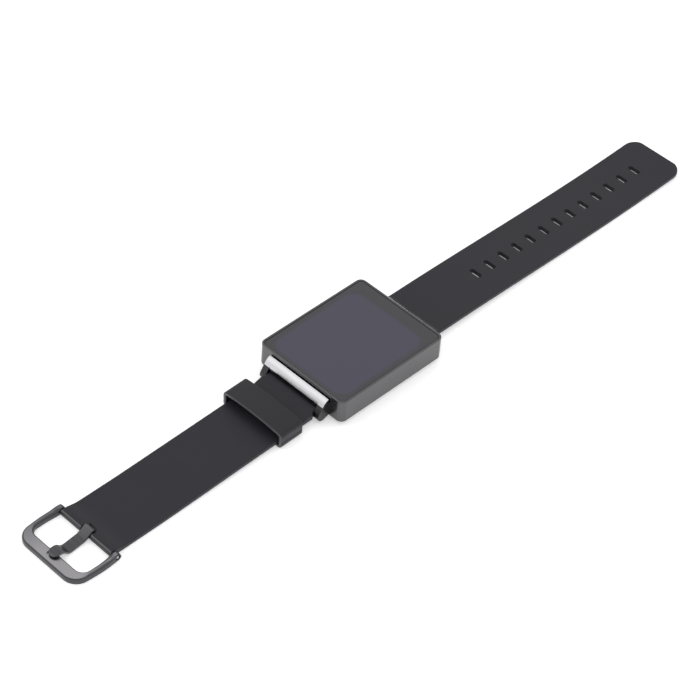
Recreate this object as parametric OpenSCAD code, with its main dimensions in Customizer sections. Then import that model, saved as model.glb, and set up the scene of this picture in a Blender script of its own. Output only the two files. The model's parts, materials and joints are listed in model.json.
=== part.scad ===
// Fitness tracker band: a square display case on a two-piece soft strap with a tang buckle.
// The origin is the centre of the case's back face, which lies on the table.
// +X is the 3 o'clock side, +Y the 12 o'clock side with the buckle, +Z points out of the display.

/* [Case] */
// Width of the case across the strap
case_w = 37.9; // [37:0.1:41]
// Length of the case along the strap
case_l = 46.5; // [45:0.1:50]
// Height of the top rim above the back face
case_h = 10.1; // [10.1:0.1:12]
// Plan radius of the outer corners
case_corner = 2.3; // [1.8:0.1:3]
// Height that the back cover stands out below the metal wall
back_step = 1.6; // [1.4:0.1:1.8]
// Thickness of the metal wall behind the glass seat
case_wall = 2.0; // [1.8:0.1:2.2]

/* [Display] */
// Width of the metal rim around the glass
rim_w = 0.8; // [0.7:0.1:1]
// Thickness of the cover glass
glass_t = 1.0; // [0.8:0.1:1.2]
// Thickness of the display panel
panel_t = 1.1; // [0.9:0.1:1.1]

/* [Lugs] */
// Distance of each lug spring bar from the case's centre
bar_y = 25.8; // [25.8:0.1:27.8]
// Height of the lug spring bars above the back face
bar_z = 3.0; // [2.9:0.05:3.2]
// Gap between the two ears of a lug
lug_gap = 22.0; // [21:0.5:22.5]
// Thickness of a lug's ear
ear_t = 2.3; // [2:0.1:2.5]

/* [Straps] */
// Width of the straps
strap_w = 23.0; // [22:0.5:23]
// Thickness of the straps
strap_t = 1.7; // [1.6:0.05:1.8]
// Distance of the buckle's spring bar from the case's centre
pin_y = 111.3; // [105:0.1:115]
// Height of the buckle's spring bar above the table
pin_z = 1.35; // [1.3:0.05:1.5]
// Distance of the free strap's tip from the case's centre
tip_y = 156.4; // [150:0.1:165]
// Number of adjustment slots
slot_count = 13; // [9:1:13]
// Distance between adjustment slots
slot_pitch = 6.94; // [6:0.02:6.94]
// Length of an adjustment slot, across the strap
slot_l = 4.8; // [4:0.1:5.5]
// Width of an adjustment slot
slot_w = 2.0; // [1.8:0.1:2.2]

/* [Keeper] */
// Length of the keeper loop along the strap
keeper_l = 9.4; // [8:0.1:10]
// Outer width of the keeper loop
keeper_w = 26.6; // [26.2:0.1:27]
// Outer height of the keeper loop at its sides
keeper_h = 6.2; // [6:0.1:6.8]
// Height that the keeper loop's crowned top gains at its middle
keeper_crown = 0.6; // [0.4:0.1:0.8]

/* [Buckle] */
// Outer width of the buckle frame
buckle_w = 28.0; // [27.8:0.1:29]
// Distance of the buckle's outer edge from its spring bar
buckle_reach = 16.9; // [16:0.1:18]
// Width of the outer bar that the tongue rests on
buckle_bar = 4.3; // [4:0.1:5]
// Thickness of the buckle frame
buckle_t = 2.2; // [2:0.1:2.4]
// Width of the tongue
tongue_w = 3.8; // [3.4:0.1:4]

/* [Hidden] */

// Small cut allowance, so that no cutter ends flush with a face
cut = 0.5;
round_fn = 48;
small_fn = 24;

// Case: the wall steps in once below the glass and once above the back cover
glass_gap = 0.1;
glass_w = case_w - 2 * (rim_w + glass_gap);
glass_l = case_l - 2 * (rim_w + glass_gap);
glass_z = case_h - 0.1 - glass_t;
glass_corner = case_corner - rim_w;
seal_t = 0.2;
seal_w = 1.0;
seat_z = glass_z - seal_t;
cavity_w = case_w - 2 * case_wall;
cavity_l = case_l - 2 * case_wall;
mouth_wall = 1.2;
mouth_w = case_w - 2 * mouth_wall;
mouth_l = case_l - 2 * mouth_wall;
mouth_top = back_step + 1.3;
inner_corner = 1.2;

// Inside the case, from the display down to the back
panel_gap = 0.3;
panel_w = cavity_w - 2 * panel_gap;
panel_l = cavity_l - 2 * panel_gap;
panel_z = glass_z - panel_t;
carrier_t = 0.6;
carrier_z = panel_z - 0.1 - carrier_t;
board_t = 0.8;
board_z = carrier_z - 1.1 - board_t;
board_w = cavity_w - 1.9;
board_l = cavity_l - 7.5;
shield_size = [16, 14, 0.9];
shield_at = [-8, -9];
sensor_size = [3, 3, 0.8];
sensor_at = [-1.5, 9];
post_r = 1.3;
post_x = cavity_w / 2 - 2.6;
post_ys = [-10, 0, 10];
cover_t = 0.8;
cover_edge = 1.8;
cover_corner = 2;
battery_z = back_step + cover_t + 0.2;
battery_size = [23, 30, 2.5];
battery_y = 4;
motor_r = 4;
motor_at = [8.5, -16.2];
contact_r = 1.0;
contact_pitch = 3.2;
contact_y = -13;
boss_r = 1.7;
boss_x = cavity_w / 2 - 1.5;
boss_y = cavity_l / 2 - 1.5;
boss_top = carrier_z - 0.1;
screw_r = 0.5;
screw_head_r = 1.0;
pilot_r = screw_r + 0.05;
pilot_d = 3.4;
sink_d = 0.8;

// Lugs: a round ear about the spring bar and a round hood over it
ear_r = 2.2;
hood_r = 3.6;
hood_t = 1.0;
hood_y = case_l / 2 - 0.65;
hood_z = bar_z + 2.2;
hood_gap = 0.5;
hood_gap_z = 6.9;
ear_x = lug_gap / 2;
lug_screw_z = hood_z + 0.4;
lug_screw_x = ear_x + ear_t / 2;
lug_pilot_d = 1.9;

// Spring bars: tube, two sprung tips and the coil between them
tube_r = 0.8;
tube_bore_r = 0.55;
tip_rod_r = 0.5;
tip_flange_r = 0.76;
tip_nose_r = 0.42;
tip_hole_r = 0.48;
lug_grip = 1.1;
buckle_grip = 1.75;
tip_spare = 0.1;
flange_t = 0.4;
spring_len = 12;
spring_wire_r = 0.08;
spring_r = 0.38;
spring_turns = 8;

// Straps: roots about the lug bars, then a straight fall to the table
root_r = 1.7;
tunnel_r = 0.87;
root_w = lug_gap - 0.2;
wide_start = bar_y + 3.4;
touch_y = 90;
under_root = bar_z - 1.5;
fall = under_root / (touch_y - bar_y);
fall_deg = atan(fall);
neck_end = bar_y + 8;
roll_r = pin_z - 0.05;
end_slot_w = tongue_w + 0.8;
end_slot_y = pin_y - 2.6;
slot_first = 59.7;
tip_corner = 5;

// Keeper: rides on the straight part of the buckle strap
keeper_y = 39.2;
keeper_wall = 1.0;
keeper_side = 1.3;
keeper_floor = 0.95;
keeper_round = 1.6;

// Buckle
arm_x = strap_w / 2 + 0.2;
eye_w = buckle_w / 2 - arm_x - 0.3;
buckle_corner = 5.5;
window_corner = 2.4;
buckle_z = 0.05;
eye_r = pin_z - buckle_z;
notch_d = 0.45;
notch_l = 2.7;
tongue_gap = 0.3;
tongue_t = 1.25;
tongue_low = 0.25;
tongue_rise = 0.75;

// Height of the buckle strap's underside at a distance from the case's centre
function under(y) = max(0, under_root - fall * (y - bar_y));

// Height of the free strap's underside: it settles on the table and lifts again at the tip
function ease(t) = t <= 0 ? 0 : t >= 1 ? 1 : t * t * (3 - 2 * t);
function free_under(y) = under_root * (1 - ease((y - 34) / 84)) + 0.9 * pow(max(0, y - 120) / 36, 2);

// Block with rounded vertical edges, centred in plan
module rounded_block(w, l, h, r) {
    translate([-w / 2, r - l / 2, 0]) cube([w, l - 2 * r, h]);
    translate([r - w / 2, -l / 2, 0]) cube([w - 2 * r, l, h]);
    for (x = [r - w / 2, w / 2 - r], y = [r - l / 2, l / 2 - r])
        translate([x, y, 0]) cylinder(r = r, h = h, $fn = round_fn);
}

// Slot with round ends along X, centred in plan
module slot(l, w, h) {
    translate([(w - l) / 2, -w / 2, 0]) cube([l - w, w, h]);
    for (x = [(w - l) / 2, (l - w) / 2]) translate([x, 0, 0]) cylinder(r = w / 2, h = h, $fn = small_fn);
}

// Closed ring with rounded corners and an even width
module rounded_ring(w, l, h, r, band) {
    difference() {
        rounded_block(w, l, h, r);
        translate([0, 0, -cut]) rounded_block(w - 2 * band, l - 2 * band, h + 2 * cut, max(0.4, r - band));
    }
}

// Round bar along X between two values of x, at a place in Y and Z
module x_rod(x0, x1, r, at = [0, 0], fn = small_fn) {
    translate([x0, at[0], at[1]]) rotate([0, 90, 0]) cylinder(r = r, h = x1 - x0, $fn = fn);
}

// Side outline in Y and Z, made solid to a half width in X
module x_slab(half, outline) {
    rotate([90, 0, 90]) linear_extrude(height = 2 * half, center = true) polygon(outline);
}

// Machine screw pointing up, its head's underside at the origin
module screw(head_h, shank) {
    difference() {
        translate([0, 0, -head_h]) cylinder(r = screw_head_r, h = head_h, $fn = small_fn);
        translate([0, 0, -head_h - cut]) cylinder(r = 0.5, h = cut + 0.35, $fn = 6);
    }
    cylinder(r = screw_r, h = shank, $fn = small_fn);
}

module at_corners(x, y) {
    for (sx = [-1, 1], sy = [-1, 1]) translate([sx * x, sy * y, 0]) children();
}

module case_frame() {
    color("dimgray") difference() {
        union() {
            difference() {
                translate([0, 0, back_step])
                    rounded_block(case_w, case_l, case_h - back_step, case_corner);
                translate([0, 0, seat_z])
                    rounded_block(glass_w + 2 * glass_gap, glass_l + 2 * glass_gap, case_h, glass_corner);
                translate([0, 0, back_step - cut])
                    rounded_block(cavity_w, cavity_l, case_h, inner_corner);
                translate([0, 0, back_step - cut])
                    rounded_block(mouth_w, mouth_l, mouth_top - back_step + cut, inner_corner);
            }
            translate([0, 0, mouth_top])
                at_corners(boss_x, boss_y) cylinder(r = boss_r, h = boss_top - mouth_top, $fn = small_fn);
        }
        translate([0, 0, mouth_top - cut])
            at_corners(boss_x, boss_y) cylinder(r = pilot_r, h = pilot_d + cut, $fn = small_fn);
        for (sx = [-1, 1])
            translate([sx * lug_screw_x, 0, lug_screw_z]) rotate([90, 0, 0])
                cylinder(r = pilot_r, h = case_l + 2, center = true, $fn = small_fn);
    }
}

module cover_glass() {
    color([0.12, 0.12, 0.14]) translate([0, 0, glass_z])
        rounded_block(glass_w, glass_l, glass_t, glass_corner);
}

module glass_gasket() {
    color("black") translate([0, 0, seat_z])
        rounded_ring(glass_w, glass_l, seal_t, glass_corner, seal_w);
}

module display_panel() {
    color([0.25, 0.25, 0.3]) translate([0, 0, panel_z])
        rounded_block(panel_w, panel_l, panel_t, inner_corner);
}

// Ribbon from the panel's end, past the carrier, to the top of the board
module display_flex() {
    ribbon_w = 8;
    ribbon_t = 0.15;
    ribbon_y = panel_l / 2 - 1.2;
    board_top = board_z + board_t;
    color("orange") {
        translate([-ribbon_w / 2, ribbon_y, board_top]) cube([ribbon_w, ribbon_t, panel_z - board_top]);
        translate([-ribbon_w / 2, board_l / 2 - 3, board_top])
            cube([ribbon_w, ribbon_y - board_l / 2 + 3 + ribbon_t, ribbon_t]);
    }
}

// Plastic plate that holds the display up and the board below it
module board_carrier() {
    color("darkslategray") difference() {
        union() {
            translate([0, 0, carrier_z])
                rounded_block(cavity_w - 0.4, cavity_l - 1.8, carrier_t, inner_corner);
            for (sx = [-1, 1], y = post_ys)
                translate([sx * post_x, y, board_z + board_t])
                    cylinder(r = post_r, h = carrier_z - board_z - board_t, $fn = small_fn);
        }
        translate([-5, panel_l / 2 - 2, carrier_z - cut]) cube([10, 3, carrier_t + 2 * cut]);
        for (sx = [-1, 1], y = post_ys)
            translate([sx * post_x, y, board_z]) cylinder(r = pilot_r, h = 2, $fn = small_fn);
    }
}

module main_board() {
    color("darkgreen") difference() {
        translate([0, 0, board_z]) rounded_block(board_w, board_l, board_t, 1);
        for (sx = [-1, 1], y = post_ys)
            translate([sx * post_x, y, board_z - cut])
                cylinder(r = pilot_r, h = board_t + 2 * cut, $fn = small_fn);
    }
}

module processor_shield() {
    color("silver") translate([shield_at[0], shield_at[1], board_z + board_t]) cube(shield_size);
}

module motion_sensor() {
    color("black") translate([sensor_at[0], sensor_at[1], board_z + board_t]) cube(sensor_size);
}

module board_screws() {
    color("silver") for (sx = [-1, 1], y = post_ys)
        translate([sx * post_x, y, board_z]) screw(head_h = 0.5, shank = board_t + 0.9);
}

module battery() {
    color("slategray") translate([0, battery_y, battery_z])
        rounded_block(battery_size[0], battery_size[1], battery_size[2], 1);
}

module vibration_motor() {
    color("lightgray") translate([motor_at[0], motor_at[1], battery_z])
        cylinder(r = motor_r, h = battery_size[2], $fn = round_fn);
}

module back_cover() {
    cover_w = case_w - 2 * cover_edge;
    cover_l = case_l - 2 * cover_edge;
    color([0.1, 0.1, 0.1]) difference() {
        union() {
            rounded_block(cover_w, cover_l, back_step, cover_corner);
            translate([0, 0, back_step]) rounded_block(mouth_w - 0.2, mouth_l - 0.2, cover_t, inner_corner);
        }
        at_corners(boss_x, boss_y) {
            translate([0, 0, -cut]) cylinder(r = screw_head_r + 0.1, h = sink_d + cut, $fn = small_fn);
            cylinder(r = pilot_r, h = 4, $fn = small_fn);
        }
        contact_places() translate([0, 0, -cut]) cylinder(r = contact_r, h = 4, $fn = small_fn);
    }
}

module contact_places() {
    for (i = [-2:2]) translate([i * contact_pitch, contact_y, 0]) children();
}

module back_gasket() {
    color("black") translate([0, 0, back_step + cover_t])
        rounded_ring(mouth_w - 0.2, mouth_l - 0.2, mouth_top - back_step - cover_t, inner_corner, 0.7);
}

module case_screws() {
    color("silver") translate([0, 0, sink_d])
        at_corners(boss_x, boss_y) screw(head_h = 0.7, shank = 5.0);
}

module charge_contacts() {
    color("gold") contact_places() translate([0, 0, 0.05])
        cylinder(r = contact_r, h = 2.45, $fn = small_fn);
}

// Lug on the +Y end: two ears that hold the spring bar and a round hood between them.
// An ear's outline is the case's end face, the hood's circle, the bar's circle and their tangent.
module lug() {
    end_y = case_l / 2;
    between = [bar_y - hood_y, bar_z - hood_z];
    slope = atan2(between[1], between[0]) + acos((hood_r - ear_r) / norm(between));
    normal = [cos(slope), sin(slope)];
    web = [[end_y, back_step], [bar_y, bar_z - ear_r], [bar_y, bar_z] + ear_r * normal,
        [hood_y, hood_z] + hood_r * normal, [end_y, hood_z]];
    color("gainsboro") difference() {
        union() {
            for (sx = [-1, 1]) {
                x0 = sx > 0 ? ear_x : -ear_x - ear_t;
                x_rod(x0, x0 + ear_t, ear_r, [bar_y, bar_z], round_fn);
                intersection() {
                    x_rod(x0, x0 + ear_t, hood_r, [hood_y, hood_z], round_fn);
                    translate([x0, end_y, hood_z - 0.1]) cube([ear_t, hood_r, hood_r + 0.2]);
                }
                translate([x0 + ear_t / 2, 0, 0]) x_slab(ear_t / 2, web);
            }
            difference() {
                intersection() {
                    x_rod(-ear_x, ear_x, hood_r, [hood_y, hood_z], round_fn);
                    translate([-ear_x, end_y, hood_z]) cube([lug_gap, hood_r, hood_r + 0.2]);
                }
                x_rod(-ear_x, ear_x, hood_r - hood_t, [hood_y, hood_z], round_fn);
            }
        }
        translate([-ear_x - ear_t - cut, end_y - cut, hood_gap_z])
            cube([2 * (ear_x + ear_t + cut), hood_gap + cut, hood_r]);
        x_rod(-ear_x - 1.5, ear_x + 1.5, tip_hole_r, [bar_y, bar_z]);
        for (sx = [-1, 1])
            translate([sx * lug_screw_x, end_y - cut, lug_screw_z]) rotate([-90, 0, 0])
                cylinder(r = pilot_r, h = lug_pilot_d + cut, $fn = small_fn);
    }
}

module buckle_side_lug() {
    lug();
}

module free_side_lug() {
    mirror([0, 1, 0]) lug();
}

module lug_screws() {
    color("silver") for (sx = [-1, 1], turn = [0, 180])
        rotate([0, 0, turn]) translate([sx * lug_screw_x, cavity_l / 2, lug_screw_z])
            rotate([-90, 0, 0]) screw(head_h = 0.6, shank = case_wall + lug_pilot_d - 0.2);
}

// Strap root about the +Y lug bar, with the neck that leaves between the ears
module strap_root() {
    x_rod(-root_w / 2, root_w / 2, root_r, [bar_y, bar_z], round_fn);
    x_slab(root_w / 2, [[bar_y, under_root], [wide_start + cut, under(wide_start)],
        [wide_start + cut, bar_z + 0.95], [bar_y + 0.6, bar_z + 1.58], [bar_y, bar_z]]);
}

module buckle_strap() {
    top_end = touch_y + 13.5;
    outline = [[wide_start, under(wide_start)], [touch_y, 0], [pin_y, 0.05],
        [pin_y, pin_z + roll_r], [pin_y - 1.5, pin_z + roll_r - 0.1],
        [pin_y - 4.5, strap_t + 0.25], [top_end, strap_t], [touch_y, strap_t],
        [neck_end, under(neck_end) + strap_t], [wide_start, bar_z + 1.0]];
    color([0.17, 0.17, 0.18]) difference() {
        union() {
            strap_root();
            x_slab(strap_w / 2, outline);
            x_rod(-strap_w / 2, strap_w / 2, roll_r, [pin_y, pin_z], round_fn);
        }
        x_rod(-strap_w, strap_w, tunnel_r, [bar_y, bar_z]);
        x_rod(-strap_w, strap_w, tunnel_r, [pin_y, pin_z]);
        translate([-end_slot_w / 2, end_slot_y, -cut]) cube([end_slot_w, 6, 6]);
    }
}

module free_strap() {
    steps = 30;
    length = tip_y - wide_start;
    below = [for (i = [0:steps]) let (y = wide_start + length * i / steps) [y, free_under(y)]];
    above = [for (i = [steps:-1:0]) let (y = wide_start + length * i / steps)
        [y, free_under(y) + strap_t + (i == 0 ? 0.8 : i == 1 ? 0.2 : 0)]];
    color([0.17, 0.17, 0.18]) mirror([0, 1, 0]) difference() {
        union() {
            strap_root();
            intersection() {
                x_slab(strap_w / 2, concat(below, above));
                translate([0, tip_y - length, -cut]) rounded_block(strap_w, 2 * length, 6, tip_corner);
            }
        }
        x_rod(-strap_w, strap_w, tunnel_r, [bar_y, bar_z]);
        for (i = [0:slot_count - 1])
            translate([0, slot_first + i * slot_pitch, -cut]) slot(slot_l, slot_w, 6);
    }
}

// Keeper loop, tilted with the fall of the strap that it slides on
module keeper_loop() {
    inside_w = keeper_w - 2 * keeper_side;
    inside_h = keeper_h - keeper_floor - keeper_wall;
    color([0.2, 0.2, 0.21])
        translate([0, keeper_y, under(keeper_y) - 0.1]) rotate([-fall_deg, 0, 0])
            translate([0, keeper_l / 2, -keeper_floor]) rotate([90, 0, 0]) difference() {
                crowned_block(keeper_w, keeper_h, keeper_l, keeper_round);
                translate([0, keeper_floor, -cut])
                    crowned_block(inside_w, inside_h, keeper_l + 2 * cut, 0.7);
            }
}

// Block with a flat bottom at y = 0 and rounded edges, whose top bulges by the keeper's crown
module crowned_block(w, h, l, r) {
    half = w / 2 - r;
    bulge_r = (half * half + keeper_crown * keeper_crown) / (2 * keeper_crown);
    translate([0, h / 2, 0]) rounded_block(w, h, l, r);
    intersection() {
        translate([0, h + keeper_crown - bulge_r, 0]) cylinder(r = bulge_r, h = l, $fn = 360);
        translate([-half, h / 2, 0]) cube([2 * half, h, l]);
    }
}

// Open frame from the two eyes on the spring bar to the wide outer bar
module buckle_frame() {
    frame_l = buckle_reach + 1.2;
    outer_y = pin_y + buckle_reach;
    window_l = buckle_reach - buckle_bar + 3;
    color([0.38, 0.38, 0.39]) difference() {
        union() {
            intersection() {
                translate([0, outer_y - frame_l, buckle_z])
                    rounded_block(buckle_w, 2 * frame_l, buckle_t, buckle_corner);
                translate([-buckle_w, pin_y, 0]) cube([2 * buckle_w, 40, 10]);
            }
            for (sx = [-1, 1]) {
                x0 = sx > 0 ? arm_x : -arm_x - eye_w;
                x_rod(x0, x0 + eye_w, eye_r, [pin_y, pin_z], round_fn);
            }
        }
        translate([0, outer_y - buckle_bar - window_l, -cut])
            rounded_block(2 * arm_x, 2 * window_l, 8, window_corner);
        x_rod(-buckle_w, buckle_w, tip_hole_r, [pin_y, pin_z]);
        translate([-tongue_w / 2 - tongue_gap, outer_y - buckle_bar - cut, buckle_z + buckle_t - notch_d])
            cube([tongue_w + 2 * tongue_gap, notch_l + cut, 2]);
    }
}

// Tongue with an eye on the spring bar, a falling arm and a tip that rests in the bar's notch
module buckle_tongue() {
    rest_z = buckle_z + buckle_t - notch_d + 0.05;
    bar_in = pin_y + buckle_reach - buckle_bar;
    tip_end = bar_in + 2.2;
    top_z = pin_z + tongue_rise;
    outline = [[pin_y, pin_z - 0.5], [pin_y + 1.2, top_z + eye_r - tongue_t - 0.4],
        [bar_in - 4.2, tongue_low], [bar_in - 2.8, tongue_low], [bar_in - 0.6, rest_z],
        [tip_end, rest_z], [tip_end, rest_z + 0.9], [tip_end - 0.4, rest_z + tongue_t],
        [bar_in - 1.3, rest_z + tongue_t], [bar_in - 3.8, tongue_low + tongue_t],
        [pin_y + 0.9, top_z + eye_r - 0.1], [pin_y, top_z + eye_r]];
    color([0.3, 0.3, 0.31]) difference() {
        union() {
            x_slab(tongue_w / 2, outline);
            x_slab(tongue_w / 2, [[pin_y - eye_r, pin_z], [pin_y + eye_r, pin_z],
                [pin_y + eye_r, top_z], [pin_y - eye_r, top_z]]);
            for (z = [pin_z, top_z]) x_rod(-tongue_w / 2, tongue_w / 2, eye_r, [pin_y, z], round_fn);
        }
        x_rod(-tongue_w, tongue_w, tube_r + 0.07, [pin_y, pin_z]);
    }
}

// Spring bar pieces about the X axis: half is the distance to the faces that the tips go into,
// and grip is how far each tip goes in, and so how far it has to travel to come out
function flange_out(half) = half - 0.1;
function tube_end(half, grip) = flange_out(half) - flange_t - grip - tip_spare - 0.05;

module bar_tube(half, grip) {
    color("silver") difference() {
        x_rod(-tube_end(half, grip), tube_end(half, grip), tube_r);
        x_rod(-half, half, tube_bore_r);
    }
}

module right_tip(half, grip) {
    color("lightgray") {
        x_rod(spring_len / 2 + 0.1, flange_out(half), tip_rod_r);
        x_rod(flange_out(half) - flange_t, flange_out(half), tip_flange_r);
        x_rod(flange_out(half), half + grip, tip_nose_r);
    }
}

module left_tip(half, grip) {
    mirror([1, 0, 0]) right_tip(half, grip);
}

// Coil swept along a helix between the inner ends of the two tips
module bar_spring() {
    sides = 5;
    per_turn = 10;
    rings = spring_turns * per_turn;
    points = [for (i = [0:rings], k = [0:sides - 1])
        let (a = 360 * i / per_turn, b = 360 * k / sides, reach = spring_r + spring_wire_r * cos(b))
        [(i / rings - 0.5) * (spring_len - 2 * spring_wire_r) + spring_wire_r * sin(b),
            reach * cos(a), reach * sin(a)]];
    skin = [for (i = [0:rings - 1], k = [0:sides - 1], half = [0, 1])
        let (a = i * sides + k, b = i * sides + (k + 1) % sides)
        half == 0 ? [a, b, b + sides] : [a, b + sides, a + sides]];
    start = [for (k = [sides - 1:-1:0]) k];
    finish = [for (k = [0:sides - 1]) rings * sides + k];
    color("silver") polyhedron(points = points, faces = concat(skin, [start, finish]));
}

module at_buckle_lug() {
    translate([0, bar_y, bar_z]) children();
}

module at_free_lug() {
    translate([0, -bar_y, bar_z]) children();
}

module at_buckle() {
    translate([0, pin_y, pin_z]) children();
}

case_frame();
cover_glass();
glass_gasket();
display_panel();
display_flex();
board_carrier();
main_board();
processor_shield();
motion_sensor();
board_screws();
battery();
vibration_motor();
back_cover();
back_gasket();
case_screws();
charge_contacts();
buckle_side_lug();
free_side_lug();
lug_screws();
buckle_strap();
free_strap();
keeper_loop();
buckle_frame();
buckle_tongue();
at_buckle_lug() bar_tube(ear_x, lug_grip);  // buckle_lug_bar
at_buckle_lug() right_tip(ear_x, lug_grip);  // buckle_lug_tip_right
at_buckle_lug() left_tip(ear_x, lug_grip);  // buckle_lug_tip_left
at_buckle_lug() bar_spring();  // buckle_lug_spring
at_free_lug() bar_tube(ear_x, lug_grip);  // free_lug_bar
at_free_lug() right_tip(ear_x, lug_grip);  // free_lug_tip_right
at_free_lug() left_tip(ear_x, lug_grip);  // free_lug_tip_left
at_free_lug() bar_spring();  // free_lug_spring
at_buckle() bar_tube(arm_x, buckle_grip);  // buckle_bar_tube
at_buckle() right_tip(arm_x, buckle_grip);  // buckle_bar_tip_right
at_buckle() left_tip(arm_x, buckle_grip);  // buckle_bar_tip_left
at_buckle() bar_spring();  // buckle_bar_spring
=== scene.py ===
"""Fitness tracker band: the visual model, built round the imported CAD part.

Lengths are millimetres in the CAD frame (+Z out of the display, +Y towards the buckle) while a
piece is shaped, and finish_mesh() turns its mesh into metres.
"""

import json
import math

import bmesh
import bpy
from mathutils import Matrix, Vector


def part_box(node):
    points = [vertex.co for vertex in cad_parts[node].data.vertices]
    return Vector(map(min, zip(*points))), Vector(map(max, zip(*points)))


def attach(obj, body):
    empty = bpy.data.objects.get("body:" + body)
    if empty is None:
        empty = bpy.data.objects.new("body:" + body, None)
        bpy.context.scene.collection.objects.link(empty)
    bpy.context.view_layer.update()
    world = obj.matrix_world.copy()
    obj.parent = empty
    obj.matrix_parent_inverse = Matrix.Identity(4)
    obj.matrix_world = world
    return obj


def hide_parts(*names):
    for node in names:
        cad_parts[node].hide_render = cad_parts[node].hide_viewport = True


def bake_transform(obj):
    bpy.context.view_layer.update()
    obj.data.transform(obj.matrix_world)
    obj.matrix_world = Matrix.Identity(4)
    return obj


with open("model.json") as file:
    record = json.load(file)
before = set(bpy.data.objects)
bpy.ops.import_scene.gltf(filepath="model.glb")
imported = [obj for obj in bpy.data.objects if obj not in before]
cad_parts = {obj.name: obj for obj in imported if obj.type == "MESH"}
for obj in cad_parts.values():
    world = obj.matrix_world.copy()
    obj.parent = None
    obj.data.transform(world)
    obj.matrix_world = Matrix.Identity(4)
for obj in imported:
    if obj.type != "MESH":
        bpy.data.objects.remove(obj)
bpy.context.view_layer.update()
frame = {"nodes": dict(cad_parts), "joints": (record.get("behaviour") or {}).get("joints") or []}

MM = 0.001
SCENE = bpy.context.scene


# ---- Dimensions, read from the frame where it has them ----

def box_mm(node):
    """Lowest and highest corner of a CAD node, in millimetres."""
    low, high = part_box(node)
    return low / MM, high / MM


def joint_mm(name):
    """Place of a joint, in millimetres."""
    return next(Vector(j["pos_m"]) / MM for j in frame["joints"] if j["name"] == name)


CASE_LOW, CASE_HIGH = box_mm("case_frame")
GLASS_LOW, GLASS_HIGH = box_mm("cover_glass")
COVER_HIGH = box_mm("back_cover")[1]
CASE_HALF = (CASE_HIGH.x, CASE_HIGH.y)
BAR = joint_mm("buckle_strap_hinge")
PIN = joint_mm("buckle_hinge")
STRAP_HALF = box_mm("buckle_strap")[1].x
TIP_Y = -box_mm("free_strap")[0].y

# Case wall, from outside to inside
CASE_CORNER = 2.3
RIM = 0.8
WALL = 2.0
MOUTH = 1.2
MOUTH_TOP = 2.9
INNER_CORNER = 1.2
BOSS_AT = (15.45, 19.75)
BOSS_R = 1.7
BOSS_TOP = 7.1
BOSS_FOOT = 0.03  # a boss starts this far above the ledge, so that no faces coincide
PILOT_DEPTH = 3.4
SCREW_HOLE_R = 0.55
LUG_SCREW_AT = (12.15, 5.6)

# Lugs
HOOD_AT = (22.6, 5.2)
HOOD_R = 3.6
HOOD_T = 1.0
HOOD_GAP = (0.38, 6.9)
EAR_R = 2.2
EAR_IN = 11.0
EAR_OUT = 13.3
# Where the lug's hood turns from bright to the ears' dark colour, a painted dark reflection on its lower
# band: a share along each ear's edge, then heights above the hood's axis between and on the ears.
SHADE_SPLIT = 0.28
HOOD_SHADE_LINE = 1.0
EAR_SHADE_LINE = 1.2
NOSE_HOLE_R = 0.48

# Straps
STRAP_T = 1.7
STRAP_EDGE = 0.45
ROOT_R = 1.7
ROOT_HALF = 10.9
TUNNEL_R = 0.87
UNDER_ROOT = 1.5
TOUCH_Y = 90
FALL = UNDER_ROOT / (TOUCH_Y - BAR.y)
END_SLOT_HALF = 2.3
SLOTS, SLOT_FIRST, SLOT_PITCH = 13, 59.7, 6.94
SLOT_HALF = (2.4, 0.85)

# Buckle
FRAME_TOP = 2.25
FRAME_BOTTOM = 0.05
BAR_OUT = box_mm("buckle_frame")[1].y
BAR_IN = BAR_OUT - 4.3
EYE_R = PIN.z - FRAME_BOTTOM
TONGUE_HALF = 1.9


# ---- Outlines and skins ----

def arc(centre, radius, start, end, steps):
    """Points on an arc, between two angles in degrees; radius may be one number or two."""
    rx, ry = radius if isinstance(radius, tuple) else (radius, radius)
    angles = [math.radians(start + (end - start) * i / steps) for i in range(steps + 1)]
    return [(centre[0] + rx * math.cos(a), centre[1] + ry * math.sin(a)) for a in angles]


def rounded_rectangle(half_w, half_h, radius, steps=6, centre=(0, 0)):
    """Closed anticlockwise outline, with the same number of points at any size."""
    points = []
    for quarter, (sx, sy) in enumerate(((1, 1), (-1, 1), (-1, -1), (1, -1))):
        middle = (centre[0] + sx * (half_w - radius), centre[1] + sy * (half_h - radius))
        points += arc(middle, radius, 90 * quarter, 90 * quarter + 90, steps)
    return points


def ease(t):
    """Smooth step from 0 to 1."""
    t = min(1.0, max(0.0, t))
    return t * t * (3 - 2 * t)


def spread(start, end, count):
    """Evenly spaced numbers, both ends included."""
    return [start + (end - start) * i / count for i in range(count + 1)]


def solid(name, points, faces):
    """Object from millimetre points, with its faces turned outwards and doubled points joined."""
    mesh = bpy.data.meshes.new(name)
    mesh.from_pydata([tuple(p) for p in points], [], faces)
    work = bmesh.new()
    work.from_mesh(mesh)
    bmesh.ops.remove_doubles(work, verts=work.verts, dist=0.0005)
    bmesh.ops.recalc_face_normals(work, faces=work.faces)
    work.to_mesh(mesh)
    work.free()
    piece = bpy.data.objects.new(name, mesh)
    SCENE.collection.objects.link(piece)
    return piece


def loft(name, rings, around=False):
    """Skin over rings of equal length: closed on itself if around is set, or else capped."""
    count, total = len(rings[0]), len(rings)
    faces = []
    for i in range(total if around else total - 1):
        j = (i + 1) % total
        for k in range(count):
            m = (k + 1) % count
            faces.append((i * count + k, i * count + m, j * count + m, j * count + k))
    if not around:
        faces.append(tuple(range(count)))
        faces.append(tuple(range((total - 1) * count, total * count)))
    return solid(name, [p for ring in rings for p in ring], faces)


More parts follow.
